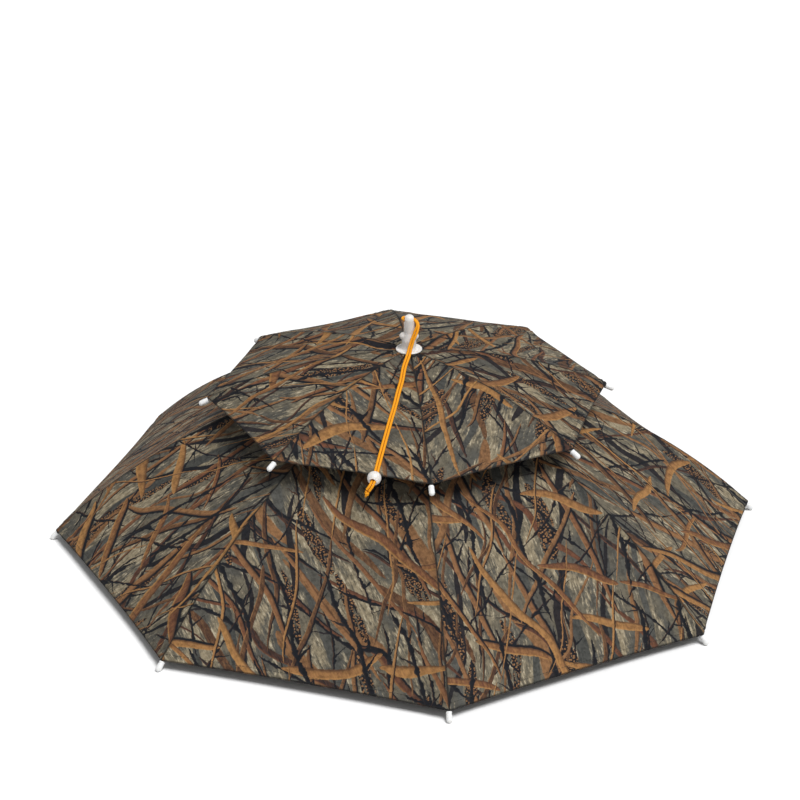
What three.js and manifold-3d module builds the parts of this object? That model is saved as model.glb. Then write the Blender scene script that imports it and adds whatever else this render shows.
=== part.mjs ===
// Umbrella hat: two camouflage canopies, one vented over the other, on folding ribs, worn by a headband.
// Millimetres, +Z up. The origin is on the ground, below the crown, with the hat resting on its rib tips.
// The first rib lies along +X and the others follow every 45 degrees.

import * as THREE from 'three';
import { mergeVertices } from 'three/addons/utils/BufferGeometryUtils.js';
import Module from 'manifold-3d';

// Canopies
const panelCount = 8;
const lowerSpan = 770;          // across opposite cloth corners of the lower canopy
const upperSpan = 432;          // the same of the upper canopy
const clothWall = 1.2;
const canopyRise = 186;         // the lower cloth's arc, carried on to the hub, above its corners
const tierRise = 15.5;          // flat top of the upper canopy above the same arc
const upperFall = 47.5;         // upper cloth corners below that flat top
const crownFlatRadius = 14;     // where the upper canopy begins to fall
const lowerBow = 33;            // how far a long rib arches above its straight chord
const upperBow = 11;            // the same for a short rib
const ventRadius = 118;         // wind vent in the middle of the lower canopy, at its corners
const lowerDip = 6;             // how far the tight cloth dips between two long ribs
const upperDip = 3;             // the same between two short ribs
const lowerRimDip = 2;          // how far the hem dips between two long ribs
const upperRimDip = 1;          // the same between two short ribs
const lowerScallop = 4;         // how far each hem is drawn in between two corners
const upperScallop = 3;
const clothAcross = 6;          // facets across a panel
const lowerAlong = 12;          // facets from the vent to the rim of the lower canopy
const upperAlong = 7;           // the same from the crown of the upper canopy
const seatGap = 0.3;            // clearance between two pieces that touch
const cutterPast = 0.5;         // how far a cutter runs past the face it cuts

// Frame
const ribRadius = 1.5;
const barSides = 6;
const longRibSteps = 14;
const shortRibSteps = 9;
const hubRadius = 15;
const hubWaistRadius = 11;
const hubFlangeHeight = 8;
const turnedEdge = 1;           // chamfer of hub and runner
const turnedSides = 20;
const stretcherRadius = 1.25;
const stretcherInVent = 18;     // how far inside the vent's corners a stretcher passes its long rib
const stretcherReach = 165;     // where a stretcher ends beside its short rib
const stretcherDrop = 1.2;      // the far end lies this much below the short rib
const runnerRadius = 14;
const runnerHeight = 15;
const postRadius = 6;
const postInRunner = 11;        // how far the post reaches down into the runner
const tipRadius = 3;
const tipLength = 11;
const tipSides = 8;
const socketDepth = 6;

// Finial
const finialFlangeRadius = 14.2;
const finialFlangeHeight = 2.4;
const finialEdge = 0.6;         // rounding of the flange's edge and start of the fillet
const finialFillet = 1.6;       // height of the fillet at the foot of the neck
const finialNeckRadius = 7.6;
const finialNeckHeight = 12;    // top of the neck above the underside of the flange
const finialShaftRadius = 5.7;
const finialHeight = 41;
const cleatRadius = 4.2;
const cleatSpan = 20.6;
const cleatRise = 16.2;         // middle of the cleat above the underside of the flange
const cleatRings = 4;
const cleatSides = 12;
const cordHoleDrop = 6;         // cord hole below the top of the finial
const cordHoleRadius = 2.3;
const cordHoleMouth = 3.6;      // radius of the flared mouths
const cordHoleSides = 12;
const finialTurn = -6;          // degrees that the cleat is turned about the post

// Headband
const bandInnerRadius = 91;
const bandWall = 2.4;
const bandHeight = 28;
const bandRise = 42;            // lower edge of the band above the lower cloth corners
const bandSides = 40;
const strapWidth = 12;
const strapWall = 1.6;
const strapSpread = 44.6;       // how far outside the band a strap meets its rib
const strapFoot = 18;           // length sewn along the band
const strapHead = 14;           // length laid along the rib
const strapBend = 1;            // height of the bend at the band's upper edge

// Pull cord, bead and knot
const cordDiameter = 2.6;
const cordSides = 8;
const cordSteps = 39;
const beadRadius = 7.1;
const beadBoreRadius = 3.15;
const beadSides = 14;
const beadRings = 10;
const knotRadius = 2.7;
const knotLength = 6;
const knotSides = 10;
const knotShares = [[0.8, 0.15], [1, 0.4], [0.8, 0.75]];    // of its radius and of its length
// Each strand's route, from the middle of the hole in the finial to the knot, with z above the ground.
const rightStrand = [
  [0.2, -0.6, 247.8], [2.9, -0.9, 247.8], [5.6, -1.5, 247.2], [7.5, -2.6, 245.4], [8, -4, 243],
  [7, -5.1, 240.2], [5.5, -5.8, 237.3], [4, -6.8, 233.2], [2, -8.2, 229], [0, -10.5, 224],
  [-1.7, -13.1, 220.2], [-2.9, -15.8, 217.2], [-4.5, -20.3, 215.2], [-6.5, -26.7, 213.9],
  [-9.3, -36, 212.7], [-11.7, -45.1, 210.8], [-16, -65.6, 207.6], [-21.4, -85, 203.7],
  [-26.6, -104.5, 198.9], [-34.1, -128.5, 192], [-41.4, -151.9, 183.9], [-48, -172.6, 175.7],
  [-52.4, -186.2, 169.6], [-54.2, -192.7, 167.5], [-56.7, -200.1, 166.3], [-58.8, -207.3, 165.2],
  [-59.9, -210, 164.7], [-61.2, -211.6, 163.4], [-62.7, -212.1, 161.4], [-63.9, -212.2, 159.9],
];
const leftStrand = [
  [-0.4, -0.8, 247.8], [-2.5, -0.5, 247.8], [-5.1, 0.7, 247.7], [-6.7, 3.4, 247.5], [-6.7, 6.3, 247.3],
  [-5.2, 8.7, 247], [-3.1, 9.9, 246.7], [1.1, 10.1, 246.1], [5.1, 8.6, 245.3], [7.9, 5.5, 244.3],
  [9.4, 1.7, 243], [9.7, -1.8, 241], [8.9, -4.6, 238.5], [7.9, -6.6, 235.8], [6.3, -8.5, 232.6],
  [4.1, -10.1, 229], [2.3, -12.3, 224], [0.8, -14.5, 220.2], [-0.2, -16.8, 217.2], [-1.7, -21.2, 215.2],
  [-3.7, -27.5, 213.9], [-6.5, -36.8, 212.7], [-8.9, -45.8, 211], [-13.2, -66.3, 207.9],
  [-18.6, -85.8, 204], [-23.9, -105.3, 199.2], [-31.3, -129.3, 192.2], [-38.6, -152.8, 184],
  [-45.2, -173.5, 175.8], [-49.7, -187.1, 169.6], [-51.5, -193.6, 167.5], [-53.9, -200.9, 166.3],
  [-56, -208.1, 165.2], [-57.2, -210.6, 163.7], [-58.9, -212, 161.6], [-60.5, -212.5, 159.6],
  [-61.6, -212.6, 158.1],
];
const beadPlace = [-55.3, -200.5, 166.3];
const beadDirection = [-4.6, -14.6, -2.3];
const knotPlace = [-63, -212.5, 158.7];
const knotDirection = [-0.25, -0.02, -0.95];

const wasm = await Module();
wasm.setup();

const sectorAngle = 2 * Math.PI / panelCount;

// An arc in the (radius, height) plane through two ends, bowed outward by a sagitta.
function arcBetween(r0, z0, r1, z1, bow) {
  const chord = Math.hypot(r1 - r0, z1 - z0);
  const radius = chord * chord / (8 * bow) + bow / 2;
  const acrossR = (z0 - z1) / chord;
  const acrossZ = (r1 - r0) / chord;
  const r = (r0 + r1) / 2 - acrossR * (radius - bow);
  const z = (z0 + z1) / 2 - acrossZ * (radius - bow);
  return { r, z, radius, start: Math.atan2(z0 - z, r0 - r), end: Math.atan2(z1 - z, r1 - r) };
}

// A point of an arc, that far inside it, at an angle of the arc.
function onArc(arc, inset, angle) {
  const reach = arc.radius - inset;
  return { r: arc.r + reach * Math.cos(angle), z: arc.z + reach * Math.sin(angle) };
}

// The angle at which an arc, that far inside it, reaches a radius from the post.
function angleAtRadius(arc, inset, r) {
  return Math.acos((r - arc.r) / (arc.radius - inset));
}

// The arc of the lower cloth along a rib, for a height of its corners.
function clothArc(rim) {
  return arcBetween(hubRadius, rim + canopyRise, lowerSpan / 2, rim, lowerBow);
}

// The tips hang below the lower cloth corners, so the corners stand above the ground by what a tip needs.
const ribInset = clothWall + seatGap + ribRadius;
const rimSlope = Math.PI / 2 - clothArc(0).end;
const shoulderReach = seatGap + tipLength - tipRadius;
const rimHeight = ribInset * Math.cos(rimSlope) + shoulderReach * Math.sin(rimSlope) + tipRadius;

const lowerArc = clothArc(rimHeight);
const crownHeight = rimHeight + canopyRise + tierRise;
const upperArc = arcBetween(crownFlatRadius, crownHeight, upperSpan / 2, crownHeight - upperFall, upperBow);
const longRib = { arc: lowerArc, inset: ribInset };
const shortRib = { arc: upperArc, inset: ribInset };
const hubGap = hubRadius + seatGap;
const hubTop = crownHeight - clothWall - seatGap;
const hubBottom = onArc(lowerArc, ribInset, lowerArc.start).z - hubFlangeHeight / 2;

const looks = {
  cloth: { color: 0x6f6653, roughness: 0.85, metalness: 0 },
  steel: { color: 0xa9adb0, roughness: 0.35, metalness: 0.9 },
  white: { color: 0xe9e8e4, roughness: 0.45, metalness: 0 },
  elastic: { color: 0x1d1e20, roughness: 0.9, metalness: 0 },
  cord: { color: 0xf09a1e, roughness: 0.8, metalness: 0 },
};

function piece(name, geometry, look) {
  const mesh = new THREE.Mesh(geometry, new THREE.MeshStandardMaterial(looks[look]));
  mesh.name = name;
  return mesh;
}

// A body of revolution about +Z from a closed list of [radius, height] corners.
function turned(profile, sides) {
  const points = profile.map(([r, z]) => new THREE.Vector2(r, z));
  return new THREE.LatheGeometry(points, sides).rotateX(Math.PI / 2);
}

// A bar of a few sides along a path.
function bar(path, radius, sides, steps) {
  const corners = [];
  for (let i = 0; i < sides; i += 1) {
    const angle = 2 * Math.PI * i / sides;
    corners.push(new THREE.Vector2(radius * Math.cos(angle), radius * Math.sin(angle)));
  }
  const section = new THREE.Shape(corners);
  return new THREE.ExtrudeGeometry(section, { steps, bevelEnabled: false, extrudePath: path });
}

function solidOf(geometry) {
  const bare = geometry.clone();
  bare.deleteAttribute('normal');
  bare.deleteAttribute('uv');
  const merged = mergeVertices(bare, 1e-4);
  const mesh = new wasm.Mesh({
    numProp: 3,
    vertProperties: new Float32Array(merged.attributes.position.array),
    triVerts: new Uint32Array(merged.index.array),
  });
  return new wasm.Manifold(mesh);
}

function geometryOf(solid) {
  const mesh = solid.getMesh();
  const geometry = new THREE.BufferGeometry();
  geometry.setAttribute('position', new THREE.BufferAttribute(new Float32Array(mesh.vertProperties), 3));
  geometry.setIndex(new THREE.BufferAttribute(new Uint32Array(mesh.triVerts), 1));
  geometry.computeVertexNormals();
  return geometry;
}

// A rib's centre line in the XZ plane, between two angles of its arc.
class RibLine extends THREE.Curve {
  constructor(rib, from, to) {
    super();
    this.rib = rib;
    this.from = from;
    this.to = to;
  }

  getPoint(t, target = new THREE.Vector3()) {
    const at = onArc(this.rib.arc, this.rib.inset, this.from + (this.to - this.from) * t);
    return target.set(at.r, 0, at.z);
  }
}

// One canopy: flat chords from rib to rib along the arc, dipped and drawn in between the ribs, with a wall.
function canopy({ arc, start, dip, rimDip, scallop, along, collar }) {
  const across = clothAcross;
  const columns = panelCount * across;
  const drawnIn = scallop / arc.radius;
  const rows = [];
  const addRow = (inset, share) => {
    const row = [];
    for (let column = 0; column < columns; column += 1) {
      const azimuth = sectorAngle * Math.floor(column / across);
      const u = (column % across) / across;
      const middle = 4 * u * (1 - u);
      const angle = start + (arc.end + drawnIn * middle - start) * share;
      const at = onArc(arc, inset, angle);
      const x = at.r * ((1 - u) * Math.cos(azimuth) + u * Math.cos(azimuth + sectorAngle));
      const y = at.r * ((1 - u) * Math.sin(azimuth) + u * Math.sin(azimuth + sectorAngle));
      const sag = (dip * Math.sin(Math.PI * share) + rimDip * share * share) * middle;
      row.push([x, y, at.z - sag]);
    }
    rows.push(row);
  };
  const addCollar = (inset) => {
    const row = [];
    for (let column = 0; column < columns; column += 1) {
      const azimuth = sectorAngle * column / across;
      row.push([collar * Math.cos(azimuth), collar * Math.sin(azimuth), crownHeight - inset]);
    }
    rows.push(row);
  };
  const addLayer = (inset) => {
    if (collar) addCollar(inset);
    for (let i = 0; i <= along; i += 1) addRow(inset, i / along);
  };
  addLayer(0);
  const layerRows = rows.length;
  addLayer(clothWall);

  const faces = [];
  const quad = (a, b, c, d) => faces.push(a, b, c, a, c, d);
  const under = layerRows * columns;
  for (let column = 0; column < columns; column += 1) {
    const next = (column + 1) % columns;
    for (let row = 0; row < layerRows - 1; row += 1) {
      const near = row * columns;
      const far = near + columns;
      quad(near + column, far + column, far + next, near + next);
      quad(under + near + next, under + far + next, under + far + column, under + near + column);
    }
    const rim = (layerRows - 1) * columns;
    quad(under + rim + column, under + rim + next, rim + next, rim + column);
    quad(under + next, under + column, column, next);
  }
  const geometry = new THREE.BufferGeometry();
  geometry.setAttribute('position', new THREE.Float32BufferAttribute(rows.flat(2), 3));
  geometry.setIndex(faces);
  geometry.computeVertexNormals();
  return geometry;
}

function lowerCanopy() {
  const start = angleAtRadius(lowerArc, 0, ventRadius);
  return canopy({
    arc: lowerArc, start, dip: lowerDip, rimDip: lowerRimDip, scallop: lowerScallop, along: lowerAlong,
  });
}

function upperCanopy() {
  return canopy({
    arc: upperArc, start: upperArc.start, dip: upperDip, rimDip: upperRimDip, scallop: upperScallop,
    along: upperAlong, collar: postRadius + seatGap,
  });
}

// The hub holds both rib circles: long ribs round its lower flange and short ribs round its upper one.
function hub() {
  const bore = postRadius + seatGap;
  const edge = turnedEdge;
  const upperFlange = hubTop - hubFlangeHeight + edge;
  const lowerFlange = hubBottom + hubFlangeHeight;
  return turned([
    [bore, hubBottom], [hubRadius - edge, hubBottom], [hubRadius, hubBottom + edge], [hubRadius, lowerFlange],
    [hubWaistRadius, lowerFlange + edge], [hubWaistRadius, upperFlange - edge], [hubRadius, upperFlange],
    [hubRadius, hubTop], [bore, hubTop], [bore, hubBottom],
  ], turnedSides);
}

// The height of a rib's centre line at a radius from the post.
function ribHeight(rib, r) {
  return onArc(rib.arc, rib.inset, angleAtRadius(rib.arc, rib.inset, r)).z;
}

// A straight stretcher passes its long rib and ends beside the short rib, which sets the runner's height.
const stretcherJointRadius = ventRadius - stretcherInVent;
const jointHeight = ribHeight(longRib, stretcherJointRadius);
const reachHeight = ribHeight(shortRib, stretcherReach) - stretcherDrop;
const stretcherPitch = (reachHeight - jointHeight) / (stretcherReach - stretcherJointRadius);
const runnerMiddle = jointHeight - stretcherPitch * (stretcherJointRadius - runnerRadius);
const runnerBottom = runnerMiddle - runnerHeight / 2;
const postBottom = runnerBottom + runnerHeight - postInRunner;

function runner() {
  const bore = postRadius + seatGap;
  const top = runnerBottom + runnerHeight;
  const face = runnerRadius - turnedEdge;
  return turned([
    [bore, runnerBottom], [face, runnerBottom], [runnerRadius, runnerBottom + turnedEdge],
    [runnerRadius, top - turnedEdge], [face, top], [bore, top], [bore, runnerBottom],
  ], turnedSides);
}

function stretcher() {
  const near = runnerRadius + seatGap;
  const beside = ribRadius + stretcherRadius + seatGap;
  const nearHeight = runnerMiddle + stretcherPitch * seatGap;
  const path = new THREE.LineCurve3(
    new THREE.Vector3(near, beside, nearHeight), new THREE.Vector3(stretcherReach, beside, reachHeight));
  return bar(path, stretcherRadius, barSides, 1);
}

function longRibBar() {
  const from = angleAtRadius(lowerArc, ribInset, hubGap);
  const to = lowerArc.end - (seatGap + socketDepth) / lowerArc.radius;
  return bar(new RibLine(longRib, from, to), ribRadius, barSides, longRibSteps);
}

function shortRibBar() {
  const from = angleAtRadius(upperArc, ribInset, hubGap);
  const to = upperArc.end - (seatGap + socketDepth) / upperArc.radius;
  return bar(new RibLine(shortRib, from, to), ribRadius, barSides, shortRibSteps);
}

// A round-ended cap over the end of a rib, from the cloth corner outward along the rib.
function tip(rib) {
  const bore = ribRadius + seatGap;
  const depth = socketDepth + 2 * seatGap;
  const shoulder = tipLength - tipRadius;
  const bevel = tipRadius * Math.SQRT1_2;
  const geometry = turned([
    [bore, 0], [tipRadius, 0], [tipRadius, shoulder], [bevel, shoulder + bevel], [0, tipLength], [0, depth],
    [bore, depth], [bore, 0],
  ], tipSides);
  const corner = onArc(rib.arc, rib.inset, rib.arc.end);
  const slope = Math.PI / 2 - rib.arc.end;
  geometry.rotateY(Math.PI / 2 + slope);
  return geometry.translate(corner.r + seatGap * Math.cos(slope), 0, corner.z - seatGap * Math.sin(slope));
}

// The finial is a flange, neck, cleat bar and shaft over the canopy, on a plain post through hub and runner.
function finial() {
  const base = crownHeight + seatGap;
  const top = base + finialHeight;
  const profile = [[0, postBottom], [postRadius, postBottom], [postRadius, base]];
  profile.push([finialFlangeRadius - finialEdge, base], [finialFlangeRadius, base + finialFlangeHeight / 2]);
  profile.push([finialFlangeRadius - finialEdge, base + finialFlangeHeight]);
  profile.push([finialNeckRadius + finialEdge, base + finialFlangeHeight + finialEdge]);
  profile.push([finialNeckRadius, base + finialFlangeHeight + finialFillet]);
  profile.push([finialNeckRadius, base + finialNeckHeight]);
  profile.push([finialShaftRadius, base + cleatRise + cleatRadius]);
  profile.push([finialShaftRadius, top - finialShaftRadius]);
  for (const share of [0.25, 0.5, 0.75]) {
    const angle = share * Math.PI / 2;
    const reach = finialShaftRadius;
    profile.push([reach * Math.cos(angle), top - reach + reach * Math.sin(angle)]);
  }
  profile.push([0, top]);
  const body = solidOf(turned(profile, turnedSides));

  const cleat = new THREE.CapsuleGeometry(cleatRadius, cleatSpan - 2 * cleatRadius, cleatRings, cleatSides);
  cleat.rotateZ(Math.PI / 2).translate(0, 0, base + cleatRise);

  const mouth = finialShaftRadius + cutterPast;
  const holeProfile = [[0, -mouth], [cordHoleMouth, -mouth], [cordHoleRadius, -mouth / 2]];
  holeProfile.push([cordHoleRadius, mouth / 2], [cordHoleMouth, mouth], [0, mouth]);
  const hole = turned(holeProfile, cordHoleSides);
  hole.rotateY(Math.PI / 2).translate(0, 0, top - cordHoleDrop);

  return geometryOf(body.add(solidOf(cleat)).subtract(solidOf(hole)));
}

function headband() {
  const low = rimHeight + bandRise;
  const outer = bandInnerRadius + bandWall;
  return turned([
    [bandInnerRadius, low], [outer, low], [outer, low + bandHeight], [bandInnerRadius, low + bandHeight],
    [bandInnerRadius, low],
  ], bandSides);
}

// A flat strap from the band's outer side up to the underside of a long rib, drawn as a side outline.
function strap() {
  const bandTop = rimHeight + bandRise + bandHeight;
  const outer = bandInnerRadius + bandWall;
  const foot = outer + seatGap;
  const footOuter = foot + strapWall;
  const inset = ribInset + ribRadius + seatGap;
  const headAngle = angleAtRadius(lowerArc, ribInset, outer + strapSpread);
  const endAngle = headAngle - strapHead / lowerArc.radius;
  const head = onArc(lowerArc, inset, headAngle);
  const headEnd = onArc(lowerArc, inset, endAngle);
  const headUnder = onArc(lowerArc, inset + strapWall, headAngle);
  const headEndUnder = onArc(lowerArc, inset + strapWall, endAngle);
  const shape = new THREE.Shape([
    [foot, bandTop - strapFoot], [footOuter, bandTop - strapFoot], [footOuter, bandTop - strapBend],
    [headUnder.r, headUnder.z], [headEndUnder.r, headEndUnder.z], [headEnd.r, headEnd.z], [head.r, head.z],
    [foot, bandTop],
  ].map(([r, z]) => new THREE.Vector2(r, z)));
  const geometry = new THREE.ExtrudeGeometry(shape, { depth: strapWidth, bevelEnabled: false, steps: 1 });
  return geometry.rotateX(Math.PI / 2).translate(0, strapWidth / 2, 0);
}

function strand(points) {
  const route = points.map((point) => new THREE.Vector3(...point));
  const path = new THREE.CatmullRomCurve3(route, false, 'centripetal');
  return bar(path, cordDiameter / 2, cordSides, cordSteps);
}

// A body of revolution about +Z, moved so that its axis points along a direction from a place.
function placed(geometry, place, direction) {
  const axis = new THREE.Vector3(...direction).normalize();
  const turn = new THREE.Quaternion().setFromUnitVectors(new THREE.Vector3(0, 0, 1), axis);
  return geometry.applyQuaternion(turn).translate(...place);
}

// A round bead, drilled for both strands side by side.
function bead() {
  const ball = new THREE.SphereGeometry(beadRadius, beadSides, beadRings).rotateX(Math.PI / 2);
  const reach = beadRadius + cutterPast;
  const drill = turned([[0, -reach], [beadBoreRadius, -reach], [beadBoreRadius, reach], [0, reach]], beadSides);
  const drilled = solidOf(ball).subtract(solidOf(drill));
  return placed(geometryOf(drilled), beadPlace, beadDirection);
}

function knot() {
  const side = knotShares.map(([across, along]) => [across * knotRadius, along * knotLength]);
  const profile = [[0, 0], ...side, [cordDiameter / 2, knotLength], [0, knotLength]];
  return placed(turned(profile, knotSides), knotPlace, knotDirection);
}

const root = new THREE.Group();

root.add(piece('lower_canopy', lowerCanopy(), 'cloth'));
root.add(piece('upper_canopy', upperCanopy(), 'cloth'));
root.add(piece('hub', hub(), 'white'));
root.add(piece('runner', runner(), 'white'));
root.add(piece('headband', headband(), 'elastic'));

const finialMesh = piece('finial', finial(), 'white');
finialMesh.rotation.z = THREE.MathUtils.degToRad(finialTurn);
root.add(finialMesh);

const parts = {
  long_rib: [longRibBar(), 'steel'],
  short_rib: [shortRibBar(), 'steel'],
  stretcher: [stretcher(), 'steel'],
  lower_tip: [tip(longRib), 'white'],
  upper_tip: [tip(shortRib), 'white'],
};
for (let k = 0; k < panelCount; k += 1) {
  const sector = new THREE.Group();
  sector.rotation.z = sectorAngle * k;
  for (const [name, [geometry, look]] of Object.entries(parts)) {
    sector.add(piece(`${name}_${k + 1}`, geometry, look));
  }
  root.add(sector);
}

const strapGeometry = strap();
const strapCount = panelCount / 2;
for (let k = 0; k < strapCount; k += 1) {
  const mesh = piece(`band_strap_${k + 1}`, strapGeometry, 'elastic');
  mesh.rotation.z = sectorAngle * (2 * k + 1);
  root.add(mesh);
}

root.add(piece('cord_right', strand(rightStrand), 'cord'));
root.add(piece('cord_left', strand(leftStrand), 'cord'));
root.add(piece('cord_bead', bead(), 'white'));
root.add(piece('cord_knot', knot(), 'cord'));

export default root;
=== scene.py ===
import math
from functools import partialmethod

import bpy
import numpy as np
from mathutils import Matrix, Vector


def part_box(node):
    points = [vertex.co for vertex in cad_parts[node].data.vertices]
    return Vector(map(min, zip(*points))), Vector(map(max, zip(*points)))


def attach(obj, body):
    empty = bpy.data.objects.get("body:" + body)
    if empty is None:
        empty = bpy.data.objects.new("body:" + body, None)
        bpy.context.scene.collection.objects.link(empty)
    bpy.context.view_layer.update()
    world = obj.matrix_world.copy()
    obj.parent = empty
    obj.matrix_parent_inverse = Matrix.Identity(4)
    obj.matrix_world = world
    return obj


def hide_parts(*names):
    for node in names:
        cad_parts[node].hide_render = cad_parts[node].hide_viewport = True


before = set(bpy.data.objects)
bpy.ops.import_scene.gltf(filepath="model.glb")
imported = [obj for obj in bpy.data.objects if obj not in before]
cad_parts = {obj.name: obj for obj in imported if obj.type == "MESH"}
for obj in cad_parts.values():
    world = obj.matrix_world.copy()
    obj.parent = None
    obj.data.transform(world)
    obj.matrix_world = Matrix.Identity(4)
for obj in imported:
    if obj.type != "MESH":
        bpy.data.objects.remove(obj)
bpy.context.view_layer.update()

MM = 0.001

# Sizes of the CAD model, in millimetres
PANELS = 8
SECTOR = 2 * math.pi / PANELS
CLOTH = 1.2
GAP = 0.3  # clearance between two pieces that touch
RIM_RADIUS = 385.0  # corners of the lower cloth
RIM_HEIGHT = 10.977
CANOPY_RISE = 186.0  # the lower cloth's arc, carried on to the hub, above its corners
LOWER_BOW = 33.0  # how far a long rib arches above its straight chord
UPPER_RIM_RADIUS = 216.0
CROWN_HEIGHT = 212.477
CROWN_FLAT_RADIUS = 14.0
UPPER_FALL = 47.5  # corners of the upper cloth below its flat top
UPPER_BOW = 11.0
VENT_RADIUS = 118.0
HUB_RADIUS = 15.0
HUB_WAIST_RADIUS = 11.0
HUB_BOTTOM = 190.011
HUB_TOP = 210.977
RIB_RADIUS = 1.5
RIB_INSET = CLOTH + GAP + RIB_RADIUS
STRETCHER_RADIUS = 1.25
TIP_RADIUS = 3.0
TIP_LENGTH = 11.0
SOCKET = 6.0
POST_RADIUS = 6.0
POST_BOTTOM = 163.748
RUNNER_BOTTOM = 159.748
RUNNER_HEIGHT = 15.0
RUNNER_RADIUS = 14.0
FINIAL_BASE = CROWN_HEIGHT + GAP
FINIAL_HEIGHT = 41.0
FINIAL_TURN = -6.0  # degrees
SHAFT_RADIUS = 5.7
CLEAT_SPAN = 20.6
CLEAT_RADIUS = 4.2
CLEAT_RISE = 16.2
CORD_HOLE_RADIUS = 2.3
CORD_HOLE_DROP = 6.0  # below the top of the finial
BAND_RADIUS = 91.0
BAND_WALL = 2.4
BAND_LOW = 52.977
BAND_HEIGHT = 28.0
STRAPS = 4
STRAP_WIDTH = 12.0
STRAP_WALL = 1.6
STRAP_SPREAD = 44.6  # how far outside the band a strap meets its rib
STRAP_FOOT = 18.0  # length sewn along the band
STRAP_HEAD = 14.0  # length laid along the rib
CORD = 2.6
BEAD_RADIUS = 7.1
BEAD_BORE = 3.15
BEAD_PLACE = (-55.3, -200.5, 166.3)
BEAD_DIRECTION = (-4.6, -14.6, -2.3)
KNOT_PLACE = (-63, -212.5, 158.7)
KNOT_DIRECTION = (-0.25, -0.02, -0.95)

# The camera, fitted to the cloth's sixteen corners: pixels, degrees and millimetres
PICTURE_WIDTH = 800
FOCAL_LENGTH = 2208.04
CAMERA_RISE = 25.92
CAMERA_ROLL = 0.52
CAMERA_TURN = -6.02
CAMERA_PLACE = (-7.9, 127.9, 2445.54)  # along its own axes, from the rim's middle

# The strands' routes, from the middle of the hole in the finial to the knot
RIGHT_STRAND = [
    (0.2, -0.6, 247.8), (2.9, -0.9, 247.8), (5.6, -1.5, 247.2), (7.5, -2.6, 245.4), (8, -4, 243),
    (7, -5.1, 240.2), (5.5, -5.8, 237.3), (4, -6.8, 233.2), (2, -8.2, 229), (0, -10.5, 224),
    (-1.7, -13.1, 220.2), (-2.9, -15.8, 217.2), (-4.5, -20.3, 215.2), (-6.5, -26.7, 213.9),
    (-9.3, -36, 212.7), (-11.7, -45.1, 210.8), (-16, -65.6, 207.6), (-21.4, -85, 203.7),
    (-26.6, -104.5, 198.9), (-34.1, -128.5, 192), (-41.4, -151.9, 183.9), (-48, -172.6, 175.7),
    (-52.4, -186.2, 169.6), (-54.2, -192.7, 167.5), (-56.7, -200.1, 166.3), (-58.8, -207.3, 165.2),
    (-59.9, -210, 164.7), (-61.2, -211.6, 163.4), (-62.7, -212.1, 161.4), (-63.9, -212.2, 159.9),
]
LEFT_STRAND = [
    (-0.4, -0.8, 247.8), (-2.5, -0.5, 247.8), (-5.1, 0.7, 247.7), (-6.7, 3.4, 247.5),
    (-6.7, 6.3, 247.3), (-5.2, 8.7, 247), (-3.1, 9.9, 246.7), (1.1, 10.1, 246.1),
    (5.1, 8.6, 245.3), (7.9, 5.5, 244.3), (9.4, 1.7, 243), (9.7, -1.8, 241), (8.9, -4.6, 238.5),
    (7.9, -6.6, 235.8), (6.3, -8.5, 232.6), (4.1, -10.1, 229), (2.3, -12.3, 224),
    (0.8, -14.5, 220.2), (-0.2, -16.8, 217.2), (-1.7, -21.2, 215.2), (-3.7, -27.5, 213.9),
    (-6.5, -36.8, 212.7), (-8.9, -45.8, 211), (-13.2, -66.3, 207.9), (-18.6, -85.8, 204),
    (-23.9, -105.3, 199.2), (-31.3, -129.3, 192.2), (-38.6, -152.8, 184), (-45.2, -173.5, 175.8),
    (-49.7, -187.1, 169.6), (-51.5, -193.6, 167.5), (-53.9, -200.9, 166.3), (-56, -208.1, 165.2),
    (-57.2, -210.6, 163.7), (-58.9, -212, 161.6), (-60.5, -212.5, 159.6), (-61.6, -212.6, 158.1),
]


# Arcs of the ribs in the (radius, height) plane, as in the CAD model

def arc_between(r0, z0, r1, z1, bow):
    chord = math.hypot(r1 - r0, z1 - z0)
    radius = chord * chord / (8 * bow) + bow / 2
    nr, nz = (z0 - z1) / chord, (r1 - r0) / chord
    r = (r0 + r1) / 2 - nr * (radius - bow)
    z = (z0 + z1) / 2 - nz * (radius - bow)
    return {"r": r, "z": z, "radius": radius,
            "start": math.atan2(z0 - z, r0 - r), "end": math.atan2(z1 - z, r1 - r)}


def on_arc(arc, inset, angle):
    reach = arc["radius"] - inset
    return arc["r"] + reach * np.cos(angle), arc["z"] + reach * np.sin(angle)


def angle_at(arc, inset, r):
    return math.acos((r - arc["r"]) / (arc["radius"] - inset))


LOWER_ARC = arc_between(HUB_RADIUS, RIM_HEIGHT + CANOPY_RISE, RIM_RADIUS, RIM_HEIGHT, LOWER_BOW)
UPPER_ARC = arc_between(CROWN_FLAT_RADIUS, CROWN_HEIGHT,
                        UPPER_RIM_RADIUS, CROWN_HEIGHT - UPPER_FALL, UPPER_BOW)


# Mesh helpers

def mesh_object(name, points, faces, smooth=True):
    mesh = bpy.data.meshes.new(name)
    mesh.from_pydata([tuple(p) for p in points], [], faces)
    mesh.validate()
    if smooth:
        mesh.shade_smooth()
    obj = bpy.data.objects.new(name, mesh)
    bpy.context.scene.collection.objects.link(obj)
    return obj


def corner_vertices(obj):
    index = np.zeros(len(obj.data.loops), np.int32)
    obj.data.loops.foreach_get("vertex_index", index)
    return index


def give_uv(obj, name, corner_values):
    """A UV map from one (u, v) a face corner."""
    layer = obj.data.uv_layers.new(name=name)
    layer.data.foreach_set("uv", np.asarray(corner_values, np.float32).ravel())


def give_vertex_uv(obj, name, values):
    """A UV map from one (u, v) a vertex."""
    give_uv(obj, name, np.asarray(values)[corner_vertices(obj)])


def finish_piece(obj, material, slot, *nodes):
    if not obj.data.materials:
        obj.data.materials.append(material)
    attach(obj, "root")
    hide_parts(*nodes)
    return obj


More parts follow.
